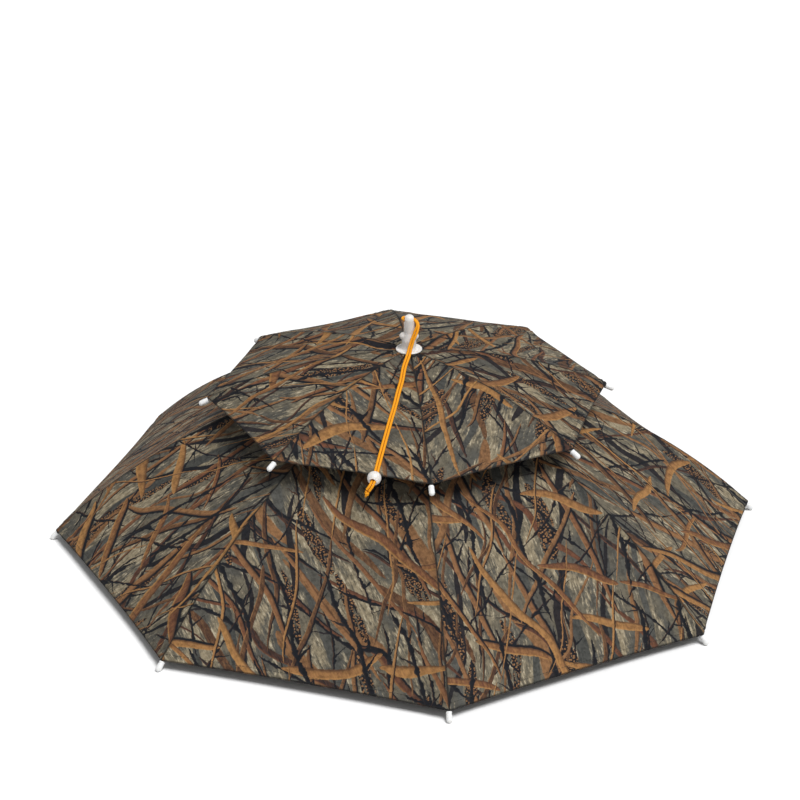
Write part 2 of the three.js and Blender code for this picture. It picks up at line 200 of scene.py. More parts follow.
def turned(obj, angle):
    obj.data.transform(Matrix.Rotation(angle, 4, "Z"))
    return obj


def between(a, b, t_a, t_b, t):
    return ((t_b - t) * a + (t - t_a) * b) / (t_b - t_a)


def smooth_route(points, steps):
    """Points along the centripetal Catmull-Rom curve through a route."""
    p = [np.array(q, float) for q in points]
    p = [2 * p[0] - p[1]] + p + [2 * p[-1] - p[-2]]
    out = []
    for i in range(1, len(p) - 2):
        q, t = p[i - 1:i + 3], [0.0]
        for a, b in zip(q, q[1:]):
            t.append(t[-1] + np.linalg.norm(b - a) ** 0.5)
        for k in range(steps):
            s = t[1] + (t[2] - t[1]) * k / steps
            a = [between(q[j], q[j + 1], t[j], t[j + 1], s) for j in range(3)]
            b = [between(a[j], a[j + 1], t[j], t[j + 2], s) for j in range(2)]
            out.append(between(*b, t[1], t[2], s))
    out.append(p[-2])
    return np.array(out)


def directions(path):
    steps = np.gradient(path, axis=0)
    return steps / np.linalg.norm(steps, axis=1)[:, None]


def lengths_along(path):
    return np.concatenate([[0], np.cumsum(np.linalg.norm(np.diff(path, axis=0), axis=1))])


def ring_faces(rings, size):
    """Quads between rings of points. The last ring joins the first."""
    faces = []
    for i in range(rings):
        a, b = i * size, (i + 1) % rings * size
        for k in range(size):
            j = (k + 1) % size
            faces.append((a + k, b + k, b + j, a + j))
    return faces


def capped_faces(rings, size):
    """Quads between rings of points, and a cap at each end."""
    quads = [(a, d, c, b) for a, b, c, d in ring_faces(rings, size)[:-size]]
    last = (rings - 1) * size
    return [tuple(range(size - 1, -1, -1)), *quads, tuple(range(last, last + size))]


CAP_RINGS = ((0.0, 0.25), (0.3, 0.75), (0.7, 0.96))     # place and radius, as shares of the radius


def add_round_ends(path, radii, tangents, along):
    radius = radii[0]
    head = [path[0] - tangents[0] * radius * (1 - at) for at, _ in CAP_RINGS]
    tail = [path[-1] + tangents[-1] * radius * (1 - at) for at, _ in reversed(CAP_RINGS)]
    sizes = [radius * share for _, share in CAP_RINGS]
    return (np.vstack([head, path, tail]),
            np.concatenate([sizes, radii, sizes[::-1]]),
            np.vstack([[tangents[0]] * 3, tangents, [tangents[-1]] * 3]),
            np.concatenate([[along[0]] * 3, along, [along[-1]] * 3]))


def tube(name, path, radius, sides=16, round_ends=False):
    """A tube along a path in metres. UV is (round it, along it) in metres."""
    path = np.asarray(path, float)
    parts = path, np.full(len(path), radius, float), directions(path), lengths_along(path)
    if round_ends:
        parts = add_round_ends(*parts)
    first = parts[2][0]
    normal = np.cross(first, (0, 0, 1) if abs(first[2]) < 0.9 else (1, 0, 0))
    points, uv = [], []
    for centre, ring_radius, tangent, along in zip(*parts):
        normal = normal - tangent * (normal @ tangent)
        normal /= np.linalg.norm(normal)
        side = np.cross(tangent, normal)
        for k in range(sides):
            a = 2 * math.pi * k / sides
            points.append(centre + ring_radius * (math.cos(a) * normal + math.sin(a) * side))
            uv.append((radius * min(a, 2 * math.pi - a), along))
    obj = mesh_object(name, points, capped_faces(len(parts[0]), sides))
    give_vertex_uv(obj, "UVMap", uv)
    return obj


def lathe(name, profile, sides=48, closed=False):
    """A body turned about +Z from (radius, height) points in millimetres, bottom to top outside."""
    points, faces, rings = [], [], []
    for r, z in profile:
        count = sides if r > 1e-6 else 1
        rings.append([len(points) + k % count for k in range(sides)])
        for k in range(count):
            a = 2 * math.pi * k / sides
            points.append((r * math.cos(a) * MM, r * math.sin(a) * MM, z * MM))
    if closed:
        rings.append(rings[0])
    for low, high in zip(rings, rings[1:]):
        for k in range(sides):
            j = (k + 1) % sides
            face = tuple(dict.fromkeys((low[k], low[j], high[j], high[k])))
            if len(face) > 2:
                faces.append(face)
    return mesh_object(name, points, faces)


def round_profile(radius, height, first, last, count=9):
    return [(radius * math.cos(a), height + radius * math.sin(a))
            for a in np.linspace(first, last, count)]


def rounded(profile, radius, steps=4):
    """The profile with its inner corners rounded by about that radius."""
    out = [profile[0]]
    for a, b, c in zip(profile, profile[1:], profile[2:]):
        a, b, c = (np.array(q, float) for q in (a, b, c))
        la, lc = np.linalg.norm(a - b), np.linalg.norm(c - b)
        cut = min(radius, la * 0.45, lc * 0.45)
        p, q = b + (a - b) / la * cut, b + (c - b) / lc * cut
        for k in range(steps + 1):
            t = k / steps
            out.append(tuple((1 - t) ** 2 * p + 2 * t * (1 - t) * b + t * t * q))
    out.append(profile[-1])
    return out


def divided(profile, pitch):
    """The profile with a point about every pitch, and without its last one."""
    out = []
    for a, b in zip(profile, profile[1:]):
        parts = max(1, round(math.dist(a, b) / pitch))
        out += [tuple(p) for p in np.linspace(a, b, parts, endpoint=False)]
    return out


# Material helpers

class Net:
    def __init__(self, tree):
        self.tree = tree

    def node(self, kind, *values, **settings):
        """A new shader node, with its first inputs set or linked."""
        made = self.tree.nodes.new("ShaderNode" + kind)
        for key, value in settings.items():
            setattr(made, key, value)
        for socket, value in zip(made.inputs, values):
            self.put(socket, value)
        return made

    def put(self, socket, value):
        if isinstance(value, bpy.types.NodeSocket):
            self.tree.links.new(value, socket)
        else:
            socket.default_value = value

    def fill(self, node, **values):
        """Sets or links a node's inputs by name."""
        for key, value in values.items():
            self.put(node.inputs[key.replace("_", " ")], value)
        return node

    def maths(self, operation, *values):
        return self.node("Math", *values, operation=operation).outputs[0]

    add = partialmethod(maths, "ADD")
    sub = partialmethod(maths, "SUBTRACT")
    mul = partialmethod(maths, "MULTIPLY")
    mul_add = partialmethod(maths, "MULTIPLY_ADD")
    divide = partialmethod(maths, "DIVIDE")
    absolute = partialmethod(maths, "ABSOLUTE")
    floor = partialmethod(maths, "FLOOR")
    fract = partialmethod(maths, "FRACT")
    sine = partialmethod(maths, "SINE")
    larger = partialmethod(maths, "MAXIMUM")
    below = partialmethod(maths, "LESS_THAN")
    above = partialmethod(maths, "GREATER_THAN")

    def vector(self, operation, a, b):
        return self.node("VectorMath", a, b, operation=operation).outputs[0]

    def scaled(self, vector, scale):
        made = self.node("VectorMath", vector, operation="SCALE")
        return self.fill(made, Scale=scale).outputs[0]

    def combine(self, *values):
        return self.node("CombineXYZ", *values).outputs[0]

    def split(self, vector):
        return self.node("SeparateXYZ", vector).outputs

    def mix(self, factor, a, b, blend="MIX"):
        made = self.node("Mix", factor, data_type="RGBA", blend_type=blend, clamp_factor=True)
        for socket, value in ((made.inputs[6], a), (made.inputs[7], b)):
            linked = isinstance(value, bpy.types.NodeSocket)
            self.put(socket, value if linked else (*value, 1.0))
        return made.outputs[2]

    def noise(self, vector, scale, detail=2.0, rough=0.5, distortion=0.0, kind="3D"):
        made = self.node("TexNoise", vector, noise_dimensions=kind)
        return self.fill(made, Scale=scale, Detail=detail, Roughness=rough,
                         Distortion=distortion).outputs

    def ramp(self, value, low, high, to_low=0.0, to_high=1.0):
        return self.node("MapRange", value, low, high, to_low, to_high,
                         interpolation_type="SMOOTHSTEP").outputs[0]

    def uv(self, name):
        return self.node("UVMap", uv_map=name).outputs[0]

    def uv_in_mm(self, name):
        return self.scaled(self.uv(name), 1000.0)

    def object_place(self):
        return self.node("TexCoord").outputs["Object"]


class Surface(Net):
    def __init__(self, name):
        self.material = bpy.data.materials.new(name)
        self.material.use_nodes = True
        self.material.node_tree.nodes.clear()
        super().__init__(self.material.node_tree)
        out = self.node("OutputMaterial")
        self.shader = self.node("BsdfPrincipled")
        self.put(out.inputs[0], self.shader.outputs[0])

    def set(self, **values):
        self.fill(self.shader, **values)

    def bump(self, height, strength, distance):
        made = self.fill(self.node("Bump"), Strength=strength, Distance=distance, Height=height)
        self.set(Normal=made.outputs[0])


# The print: a generic camouflage of reeds, blades, twigs and seed heads over a mottled ground

def staggered_cell(net, vector, angle, wide, long, seed):
    """A cell of a turned grid with shifted columns: x and y in it, and four random numbers."""
    turn = net.node("VectorRotate", vector, rotation_type="Z_AXIS")
    place = net.split(net.fill(turn, Angle=angle).outputs[0])
    qx = net.mul(place[0], 1 / wide)
    column = net.floor(qx)
    stagger = net.fill(net.node("TexWhiteNoise", noise_dimensions="2D"),
                       Vector=net.combine(column, seed))
    qy = net.mul_add(stagger.outputs["Value"], 7.3, net.mul(place[1], 1 / long))
    row = net.floor(qy)
    cell = net.fill(net.node("TexWhiteNoise", noise_dimensions="3D"),
                    Vector=net.combine(column, row, seed))
    x = net.sub(net.sub(qx, column), 0.5)
    y = net.sub(net.sub(qy, row), 0.5)
    return x, y, net.split(cell.outputs["Color"]), cell.outputs["Value"]


def blade(net, vector, angle, wide, long, half, seed, density):
    """One curved blade a cell: the place across it, a random number, its mask and its shadow's."""
    x, y, random, chance = staggered_cell(net, vector, angle, wide, long, seed)
    lean = net.mul_add(random[0], 0.5, -0.25)
    start = net.mul_add(random[1], 0.36, -0.18)
    curl = net.mul_add(random[2], 0.9, -0.45)
    y2 = net.mul(y, y)
    middle = net.mul_add(curl, net.sub(y2, 0.1), net.mul_add(lean, y, start))
    taper = net.maths("SQRT", net.mul_add(y2, -4.0, 1.0001))
    size = net.mul_add(net.fract(net.mul(random[1], 13.7)), 0.8 * half, 0.55 * half)
    across = net.divide(net.sub(x, middle), net.mul(size, taper))
    there = net.below(chance, density)
    mask = net.mul(net.ramp(net.absolute(across), 1.08, 0.86), there)
    beside = net.mul(net.ramp(across, 0.7, 0.95), net.ramp(across, 2.0, 1.5))
    shadow = net.mul(beside, net.mul(there, net.above(random[0], 0.35)))
    pick = net.fract(net.mul(random[2], 17.3))
    return across, pick, mask, shadow


# A twig's side shoots: start along the stem, side, slope and reach, as shares of the cell
SHOOTS = ((-0.22, 1.0, 0.75, 0.34), (0.08, -1.0, 0.9, 0.3), (0.2, 1.0, 1.3, 0.2))


def twig(net, vector, angle, wide, long, half, seed, density):
    """One wavy, knotted twig with side shoots a cell: its mask, and the signed place across it."""
    x, y, random, chance = staggered_cell(net, vector, angle, wide, long, seed)
    x = net.mul(x, wide)
    y = net.mul(y, long)
    lean = net.mul_add(random[0], 0.22, -0.11)
    start = net.mul_add(random[1], 0.3 * wide, -0.15 * wide)
    wave = net.sine(net.mul_add(random[2], 20.0, net.mul(y, 0.07)))
    middle = net.mul_add(wave, 1.5, net.mul_add(lean, y, start))
    stem_x = net.sub(x, middle)
    fade = net.ramp(net.absolute(y), 0.48 * long, 0.32 * long)
    lumps = net.sine(net.mul_add(random[1], 9.0, net.mul(y, 0.16)))
    knots = net.mul_add(net.maths("POWER", net.absolute(lumps), 8.0), 0.55 * half, 0.8 * half)
    reach = net.mul(knots, net.mul_add(fade, 0.75, 0.25))
    side = net.divide(stem_x, reach)
    mask = net.mul(net.ramp(net.absolute(side), 1.2, 0.8), net.ramp(fade, 0.02, 0.12))
    for at, way, slope, share in SHOOTS:
        out = net.mul(stem_x, way)
        line = net.absolute(net.sub(y, net.mul_add(out, slope, at * long)))
        shrink = net.larger(net.mul_add(out, -1 / (share * wide), 1.0), 0.001)
        here = net.ramp(net.divide(line, net.mul(shrink, 1.1 * half)), 1.25, 0.8)
        here = net.mul(here, net.above(out, 0.0))
        mask = net.larger(mask, net.mul(here, net.above(shrink, 0.02)))
    return net.mul(mask, net.below(chance, density)), side


# Colours of the print
SLATE = (0.072, 0.069, 0.059)
OLIVE = (0.114, 0.1, 0.073)
BEIGE = (0.225, 0.186, 0.122)
PALE = (0.39, 0.34, 0.245)
BARK = (0.03, 0.029, 0.025)
DUSK = (0.04, 0.041, 0.038)
ASH = (0.085, 0.083, 0.073)
CHARCOAL = (0.009, 0.01, 0.013)
SOOT = (0.02, 0.017, 0.018)
BROWN = (0.05, 0.026, 0.018)
RUST = (0.12, 0.05, 0.028)
TAN = (0.215, 0.11, 0.049)
ORANGE = (0.305, 0.158, 0.056)

# Kind, degrees, millimetres of a cell across and along, half width, density, two colours.
# The half width is a share of the cell, or millimetres of a twig. Cycles runs out of room for
# one material at 18 layers.
PRINT_LAYERS = [
    ("reed", 5, 44, 230, 0.13, 0.6, DUSK, ASH),
    ("reed", -14, 60, 190, 0.11, 0.6, BROWN, TAN),
    ("reed", 22, 52, 190, 0.08, 0.75, CHARCOAL, SOOT),
    ("blade", -30, 48, 170, 0.055, 0.75, SOOT, RUST),
    ("twig", 12, 46, 150, 1.4, 0.85, CHARCOAL, BROWN),
    ("head", 8, 58, 90, 0.13, 0.4, CHARCOAL, TAN),
    ("blade", 17, 42, 190, 0.052, 0.72, BROWN, TAN),
    ("twig", -34, 52, 150, 1.6, 0.8, CHARCOAL, SOOT),
    ("blade", -8, 46, 200, 0.075, 0.65, RUST, TAN),
    ("twig", 50, 56, 130, 1.3, 0.75, CHARCOAL, BROWN),
    ("blade", 36, 56, 180, 0.055, 0.6, BROWN, TAN),
    ("blade", -62, 60, 84, 0.09, 0.45, RUST, ORANGE),
    ("twig", 3, 50, 180, 2.3, 0.8, CHARCOAL, SOOT),
    ("blade", 25, 46, 170, 0.026, 0.7, TAN, ORANGE),
    ("blade", -20, 60, 210, 0.07, 0.5, RUST, ORANGE),
]


def ground_colour(net, place, drift):
    """Mottled bark-like ground, grey-green and olive, with streaked pale patches."""
    drifted = net.vector("ADD", place, net.scaled(drift, 60.0))
    stretched = net.vector("MULTIPLY", drifted, (0.030, 0.011, 1.0))
    patches = net.noise(stretched, 1.0, 3.0, 0.6, 0.4, kind="2D")[0]
    grain = net.vector("MULTIPLY", place, (0.38, 0.075, 1.0))
    streaks = net.noise(grain, 1.0, 3.0, 0.72, kind="2D")[0]
    broad = net.vector("MULTIPLY", place, (0.034, 0.018, 1.0))
    clouds = net.noise(broad, 1.0, 2.0, kind="2D")[0]
    colour = net.mix(net.ramp(clouds, 0.38, 0.6), SLATE, OLIVE)
    light = net.ramp(net.mul_add(streaks, 0.6, patches), 0.76, 0.98)
    colour = net.mix(light, colour, BEIGE)
    colour = net.mix(net.mul(light, net.ramp(streaks, 0.54, 0.74)), colour, PALE)
    colour = net.mix(net.mul(net.ramp(streaks, 0.44, 0.28), 0.55), colour, BARK)
    return colour, streaks


def add_twig(net, colour, place, facts, dark, bright):
    mask, side = twig(net, place, *facts)
    return net.mix(mask, colour, net.mix(net.ramp(side, -0.2, -0.9), dark, bright))


def add_seed_head(net, colour, streaks, place, facts, dark, bright):
    _, _, mask, _ = blade(net, place, *facts)
    seeds = net.node("TexVoronoi", place, voronoi_dimensions="2D")
    net.fill(seeds, Scale=0.36)
    body = net.mix(net.ramp(seeds.outputs["Distance"], 0.24, 0.40), bright, dark)
    return net.mix(net.mul(mask, net.ramp(streaks, 0.36, 0.46)), colour, body)


def add_blade(net, colour, streaks, place, facts, dark, bright, edged):
    """A blade, or a plain reed. An edged one has a bright side, a brown one and a shadow."""
    across, pick, mask, shadow = blade(net, place, *facts)
    tone = net.mul_add(streaks, 1.3, net.mul_add(pick, 0.9, -0.6))
    body = net.mix(tone, dark, bright)
    if edged:
        body = net.mix(net.ramp(across, -0.45, -0.95), body, bright)
        body = net.mix(net.mul(net.ramp(across, 0.2, 0.95), 0.8), body, BROWN)
        colour = net.mix(shadow, colour, CHARCOAL)
    return net.mix(mask, colour, body)


def print_group():
    tree = bpy.data.node_groups.new("print", "ShaderNodeTree")
    tree.interface.new_socket("Place", in_out="INPUT", socket_type="NodeSocketVector")
    tree.interface.new_socket("Colour", in_out="OUTPUT", socket_type="NodeSocketColor")
    net = Net(tree)
    place = tree.nodes.new("NodeGroupInput").outputs[0]
    broad = net.noise(net.scaled(place, 0.0085), 1.0, 1.0, kind="2D")
    fine = net.noise(net.scaled(place, 0.17), 1.0, 2.0, 0.65, kind="2D")
    drift = net.vector("SUBTRACT", broad[1], (0.5, 0.5, 0.5))
    ragged = net.scaled(net.vector("SUBTRACT", fine[1], (0.5, 0.5, 0.5)), 1.7)
    place = net.vector("ADD", place, ragged)
    colour, streaks = ground_colour(net, place, drift)
    for number, (kind, angle, wide, long, half, density, *pair) in enumerate(PRINT_LAYERS):
        sway = net.scaled(drift, 22.0 + 9.0 * (number % 4))
        moved = net.vector("ADD", net.vector("ADD", place, sway),
                           (37.0 * number, 61.0 * number, 0.0))
        facts = (math.radians(angle), wide, long, half, number + 0.5, density)
        if kind == "twig":
            colour = add_twig(net, colour, net.vector("ADD", moved, ragged), facts, *pair)
        elif kind == "head":
            colour = add_seed_head(net, colour, streaks, moved, facts, *pair)
        else:
            colour = add_blade(net, colour, streaks, moved, facts, *pair, kind == "blade")
    grit = net.ramp(fine[0], 0.30, 0.62, 0.72, 1.06)
    colour = net.mix(1.0, colour, net.combine(grit, grit, grit), "MULTIPLY")
    net.put(tree.nodes.new("NodeGroupOutput").inputs[0], colour)
    return tree


# Cloth materials. "print" is the place in the print, "edges" the distances from the nearest seam
# and hem, and "run" the place on the flat panel, all in metres.

HEM = 8.2
STITCH_LINE = 6.6           # stitches of a hem, from its edge
STITCH_PITCH = 3.6
WEAVE_RATE = 14.0           # of the weave's bump, radians a millimetre


def hem_stitches(net, edges, run):
    line = net.below(net.absolute(net.sub(edges[1], STITCH_LINE)), 0.38)
    dashes = net.below(net.fract(net.mul(run[0], 1 / STITCH_PITCH)), 0.68)
    return net.mul(line, dashes)


def weave(net, place):
    threads = net.noise(net.vector("MULTIPLY", place, (2.2, 2.2, 1.0)), 1.0, 2.0, 0.6, kind="2D")[0]
    warp = net.sine(net.mul(net.split(place)[0], WEAVE_RATE))
    weft = net.sine(net.mul(net.split(place)[1], WEAVE_RATE))
    return threads, net.mul_add(net.mul(warp, weft), 0.25, threads)


def cloth_material(name, print_tree, under=False):
    """Printed cloth with dark pressed seams, painted shade beside them and stitched hems, or its
    faded reverse.
    """
    net = Surface(name)
    place = net.uv_in_mm("print")
    colour = net.node("Group", place, node_tree=print_tree).outputs[0]
    if under:
        colour = net.mix(0.5, colour, (0.3, 0.29, 0.26))
    edges = net.split(net.uv_in_mm("edges"))
    run = net.split(net.uv_in_mm("run"))
    # The dark lines at the seams and at the rim's edge are the cloth's own colour; the softer
    # darkening a few millimetres beside each seam is painted shade.
    seam = net.ramp(edges[0], 0.5, 1.5, 0.22, 1.0)
    beside = net.ramp(edges[0], 1.5, 4.5, 0.82, 1.0)
    rim = net.ramp(edges[1], 0.4, 1.6, 0.3, 1.0)
    stitches = hem_stitches(net, edges, run)
    seam_lines_and_painted_shade = net.mul(net.mul(seam, beside), rim)
    colour = net.mix(net.sub(1.0, seam_lines_and_painted_shade), colour, (0.012, 0.012, 0.012))
    colour = net.mix(net.mul(stitches, 0.7), colour, (0.03, 0.028, 0.024))
    threads, height = weave(net, place)
    net.set(Base_Color=colour, Roughness=net.ramp(threads, 0.3, 0.7, 0.74, 0.9),
            Specular_IOR_Level=0.12)
    net.bump(net.add(height, net.mul(stitches, 1.5)), 0.25, 0.0003)
    return net.material


# Plainer materials

def plastic_material(name, colour, roughness, milky):
    net = Surface(name)
    marks = net.noise(net.object_place(), 220.0, 3.0)[0]
    tint = net.mix(net.ramp(marks, 0.35, 0.7), colour, tuple(c * 0.92 for c in colour))
    net.set(Base_Color=tint,
            Roughness=net.ramp(marks, 0.3, 0.7, roughness, roughness + 0.12),
            Subsurface_Weight=milky, Subsurface_Scale=0.004, Subsurface_Radius=(1.0, 0.9, 0.75),
            Coat_Weight=0.15, Coat_Roughness=0.2)
    net.bump(marks, 0.12, 0.0002)
    return net.material


def steel_material():
    net = Surface("rib steel")
    drawn = net.noise(net.object_place(), 140.0, 4.0, 0.6)[0]
    tint = net.mix(drawn, (0.42, 0.43, 0.44), (0.62, 0.62, 0.61))
    net.set(Base_Color=tint, Metallic=1.0,
            Roughness=net.ramp(drawn, 0.3, 0.7, 0.28, 0.45))
    net.bump(drawn, 0.15, 0.0001)
    return net.material


def woven_material(name, dark, bright, pitch, across_scale=1.0):
    """A ribbed or woven band, whose threads are pitch millimetres apart, with painted shade in the
    hollows between them.
    """
    net = Surface(name)
    turns = net.scaled(net.uv("UVMap"), 1000.0 * 2 * math.pi / pitch)
    place = net.split(turns)
    one = net.sine(place[0])
    two = net.sine(net.mul(place[1], across_scale))
    cloth = net.mul_add(net.mul(one, two), 0.5, 0.5)
    fuzz = net.noise(net.uv("UVMap"), 900.0, 2.0)[0]
    # Painted shade: the colour follows the weave's height, darker in the hollows between the
    # threads.
    tint = net.mix(net.mul(cloth, net.ramp(fuzz, 0.2, 0.8)), dark, bright)
    net.set(Base_Color=tint, Roughness=net.ramp(fuzz, 0.3, 0.7, 0.75, 0.92),
            Sheen_Weight=0.2, Sheen_Roughness=0.5)
    net.bump(cloth, 0.5, 0.0003)
    return net.material


def cord_material():
    """Braided elastic: two sets of threads that cross round the cord. Its colour is darker in the
    grooves as painted shade and lighter on the raised threads as painted highlight.
    """
    net = Surface("cord elastic")
    place = net.split(net.uv_in_mm("UVMap"))
    one = net.sine(net.mul(net.add(place[0], place[1]), 5.4))
    two = net.sine(net.mul(net.sub(place[0], place[1]), 5.4))
    braid = net.mul_add(net.larger(one, two), 0.5, 0.5)
    fuzz = net.noise(net.uv("UVMap"), 1500.0, 2.0)[0]
    # Painted shade and highlight: the colour follows the braid's height, darker in its grooves and
    # lighter on its threads.
    tone = net.mul(braid, net.ramp(fuzz, 0.1, 0.6))
    tint = net.mix(tone, (0.55, 0.18, 0.003), (0.90, 0.38, 0.010))
    net.set(Base_Color=tint, Roughness=net.ramp(fuzz, 0.3, 0.7, 0.65, 0.82),
            Specular_IOR_Level=0.25)
    net.bump(braid, 0.4, 0.00025)
    return net.material


def floor_material():
    net = Surface("floor")
    grain = net.noise(net.object_place(), 30.0, 3.0)[0]
    tint = net.mix(grain, (0.84, 0.84, 0.84), (0.87, 0.87, 0.87))
    net.set(Base_Color=tint, Roughness=0.9)
    return net.material


# Camera, floor and light

def make_camera():
    data = bpy.data.cameras.new("Camera")
    data.sensor_width = 36.0
    data.lens = FOCAL_LENGTH / PICTURE_WIDTH * data.sensor_width
    data.clip_start, data.clip_end = 0.05, 200.0
    camera = bpy.data.objects.new("Camera", data)
    move = Matrix.Translation((0, 0, RIM_HEIGHT * MM))
    for angle, axis in ((CAMERA_TURN, "Z"), (90 - CAMERA_RISE, "X"), (CAMERA_ROLL, "Z")):
        move = move @ Matrix.Rotation(math.radians(angle), 4, axis)
    camera.matrix_world = move @ Matrix.Translation(Vector(CAMERA_PLACE) * MM)
    bpy.context.scene.collection.objects.link(camera)
    bpy.context.scene.camera = camera


def make_floor():
    size = 60.0
    corners = [(-size, -size, 0), (size, -size, 0), (size, size, 0), (-size, size, 0)]
    floor = mesh_object("floor", corners, [(0, 1, 2, 3)], smooth=False)
    floor.data.materials.append(floor_material())


def make_light():
    """A wide soft sun over the viewer's right shoulder, and a white studio all round."""
    data = bpy.data.lights.new("key", "SUN")
    data.energy = 3.2
    data.angle = math.radians(30)
    light = bpy.data.objects.new("key", data)
    light.rotation_euler = (-Vector((0.4, -0.45, 1.4))).to_track_quat("-Z", "Y").to_euler()
    bpy.context.scene.collection.objects.link(light)
    world = bpy.data.worlds.new("studio")
    world.use_nodes = True
    background = world.node_tree.nodes["Background"]
    background.inputs["Color"].default_value = (1, 1, 1, 1)
    background.inputs["Strength"].default_value = 0.42
    bpy.context.scene.world = world
    bpy.context.scene.view_settings.view_transform = "Standard"


# Cloth. Relief is how far it stands off its plain arc, in millimetres, as every length here.

SEAM_COLUMNS = np.array([0, 0.8, 1.7, 3.0, 5.0, 8.0, 12.5, 19.0])   # distances from a seam
SEAM_ZONES = 46.0           # in a narrower row, the columns beside its seams move together
RIM_SWELL = 0.55            # how far the folded rim bulges outwards


def seam_relief(seam):
    return 0.5 * np.exp(-(seam / 3.4) ** 2) - 0.75 * np.exp(-(seam / 0.75) ** 2)


def pucker_relief(distance, s, phases):
    ripple = np.sin(s / 2.05 + 1.6 * math.sin(s / 23 + phases[0]) + distance * 0.16 + phases[1])
    depth = 0.34 * (0.55 + 0.45 * math.sin(s / 37 + phases[2]))
    return depth * ripple * np.exp(-distance / 11) * (1 - np.exp(-distance / 2.5))


def corner_relief(distance, from_rim, seam, phase):
    """Tension folds that fan out from a corner of the rim."""
    corner = np.hypot(distance, from_rim)
    fan = np.arctan2(distance, from_rim + 6)
    near = np.exp(-corner / 42) * (1 - np.exp(-corner / 9)) * np.minimum(1, seam / 6)
    return 0.9 * np.sin(fan * 15 + phase) * near


def hem_relief(from_edge, across, phase):
    fold = 0.5 * (1 - np.tanh((from_edge - HEM) / 0.7))
    stitched = np.exp(-((from_edge - STITCH_LINE) / 3.5) ** 2)
    return 0.45 * fold + 0.16 * np.sin(across / 1.9 + phase) * stitched


def gather_relief(s, u, phases):
    near = np.exp(-((s - 6) / 13) ** 2) * (1 - math.exp(-s / 2.5))
    return near * (0.8 * np.sin(u * 6 * math.pi + phases[0])
                   + 0.5 * np.sin(u * 10 * math.pi + phases[1]))


class Canopy:
    """One tier's cloth. A ring of it is its points and their print, edges and run places."""

    def __init__(self, arc, start, dip, rim_dip, scallop, middle_columns, collar, turns, seed):
        self.arc, self.start, self.dip, self.rim_dip = arc, start, dip, rim_dip
        self.middle_columns, self.collar, self.turns = middle_columns, collar, turns
        self.drawn_in = scallop / arc["radius"]
        self.length = (start - arc["end"]) * arc["radius"]
        self.panel_size = 2 * len(SEAM_COLUMNS) - 1 + middle_columns
        rng = np.random.default_rng(seed)
        self.phases = rng.uniform(0, 2 * math.pi, (PANELS, 2, 4))

    def rows(self, count):
        """Shares of the length, with close ones at the rim, the vent and where a hem stops."""
        length = self.length
        marks = [length - HEM - 0.8, length - HEM + 0.1, length - HEM + 0.9, length - 0.9]
        if not self.collar:
            marks += [0.9, HEM - 0.9, HEM - 0.1, HEM + 0.8]
        return sorted({*np.linspace(0, 1, count), *(m / length for m in marks)})

    def columns(self, width):
        """Places across a panel, from 0 at one seam to just before the next."""
        left = SEAM_COLUMNS * min(1.0, width / SEAM_ZONES) / width
        middle = np.linspace(left[-1], 1 - left[-1], self.middle_columns + 2)[1:-1]
        return np.concatenate([left, middle, 1 - left[:0:-1]])

    def relief(self, panel, u, width, s):
        """Relief of a panel at the places u across it and the length s from the middle."""
        from_rim = self.length - s
        seam = np.minimum(u, 1 - u) * width
        lift = seam_relief(seam)
        for phases, distance in zip(self.phases[panel], (u * width, (1 - u) * width)):
            lift += pucker_relief(distance, s, phases)
            lift += corner_relief(distance, from_rim, seam, phases[3])
        a, b, c, d = self.phases[panel, 0]
        lift += 0.9 * np.sin(u * 5.3 + a) * np.sin(s / 47 + b) * 4 * u * (1 - u)
        lift += hem_relief(from_rim, u * width, c)
        if self.collar:
            return lift + gather_relief(s, u, (a, b))
        return lift + hem_relief(s, u * width, d)

    def print_place(self, panel, across, from_rim):
        """Each panel is cut from another part of the print, at another angle."""
        turn, shift = math.radians(self.turns[panel]), self.phases[panel, 1] * 400
        return (across * math.cos(turn) - from_rim * math.sin(turn) + shift[0],
                across * math.sin(turn) + from_rim * math.cos(turn) + shift[1])

    def ring(self, share, inset, swell=0.0):
        """The ring at a share of the way to the rim, inset below the cloth's upper face."""
        s, end = share * self.length, self.arc["end"]
        r_plain, _ = on_arc(self.arc, 0, self.start + (end - self.start) * share)
        width = 2 * r_plain * math.sin(SECTOR / 2)
        u = self.columns(width)
        belly = 4 * u * (1 - u)
        angle = self.start + (end + self.drawn_in * belly - self.start) * share
        sag = (self.dip * math.sin(math.pi * share) + self.rim_dip * share * share) * belly
        across, from_rim = (u - 0.5) * width, np.full_like(u, self.length - s)
        seam = np.minimum(u, 1 - u) * width
        hem = from_rim if self.collar else np.minimum(from_rim, s)
        r_arc, z_arc = on_arc(self.arc, inset, angle)
        parts = [[], [], [], []]
        for panel in range(PANELS):
            lift, left = self.relief(panel, u, width, s), SECTOR * panel
            r = r_arc + np.cos(angle) * lift + np.sin(angle) * swell
            z = z_arc + np.sin(angle) * lift - np.cos(angle) * swell
            x = r * ((1 - u) * math.cos(left) + u * math.cos(left + SECTOR))
            y = r * ((1 - u) * math.sin(left) + u * math.sin(left + SECTOR))
            found = ((x, y, z - sag), self.print_place(panel, across, from_rim),
                     (seam, hem), (across, from_rim))
            for part, values in zip(parts, found):
                part.append(np.stack(values, 1))
        return [np.vstack(part) for part in parts]

    def collar_ring(self, share, inset):
        """A ring between the crown's first ring and the collar round the post, at share 1."""
        ring = self.ring(0.0, inset)
        angle = np.arctan2(ring[0][:, 1], ring[0][:, 0])
        round_post = np.stack([self.collar * np.cos(angle), self.collar * np.sin(angle),
                               np.full_like(angle, CROWN_HEIGHT - inset)], 1)
        ring[0] = round_post * share + ring[0] * (1 - share)
        return ring

    def face(self, row_count, inset):
        collar = [self.collar_ring(share, inset) for share in (1.0, 0.5)] if self.collar else []
        return collar + [self.ring(share, inset) for share in self.rows(row_count)]


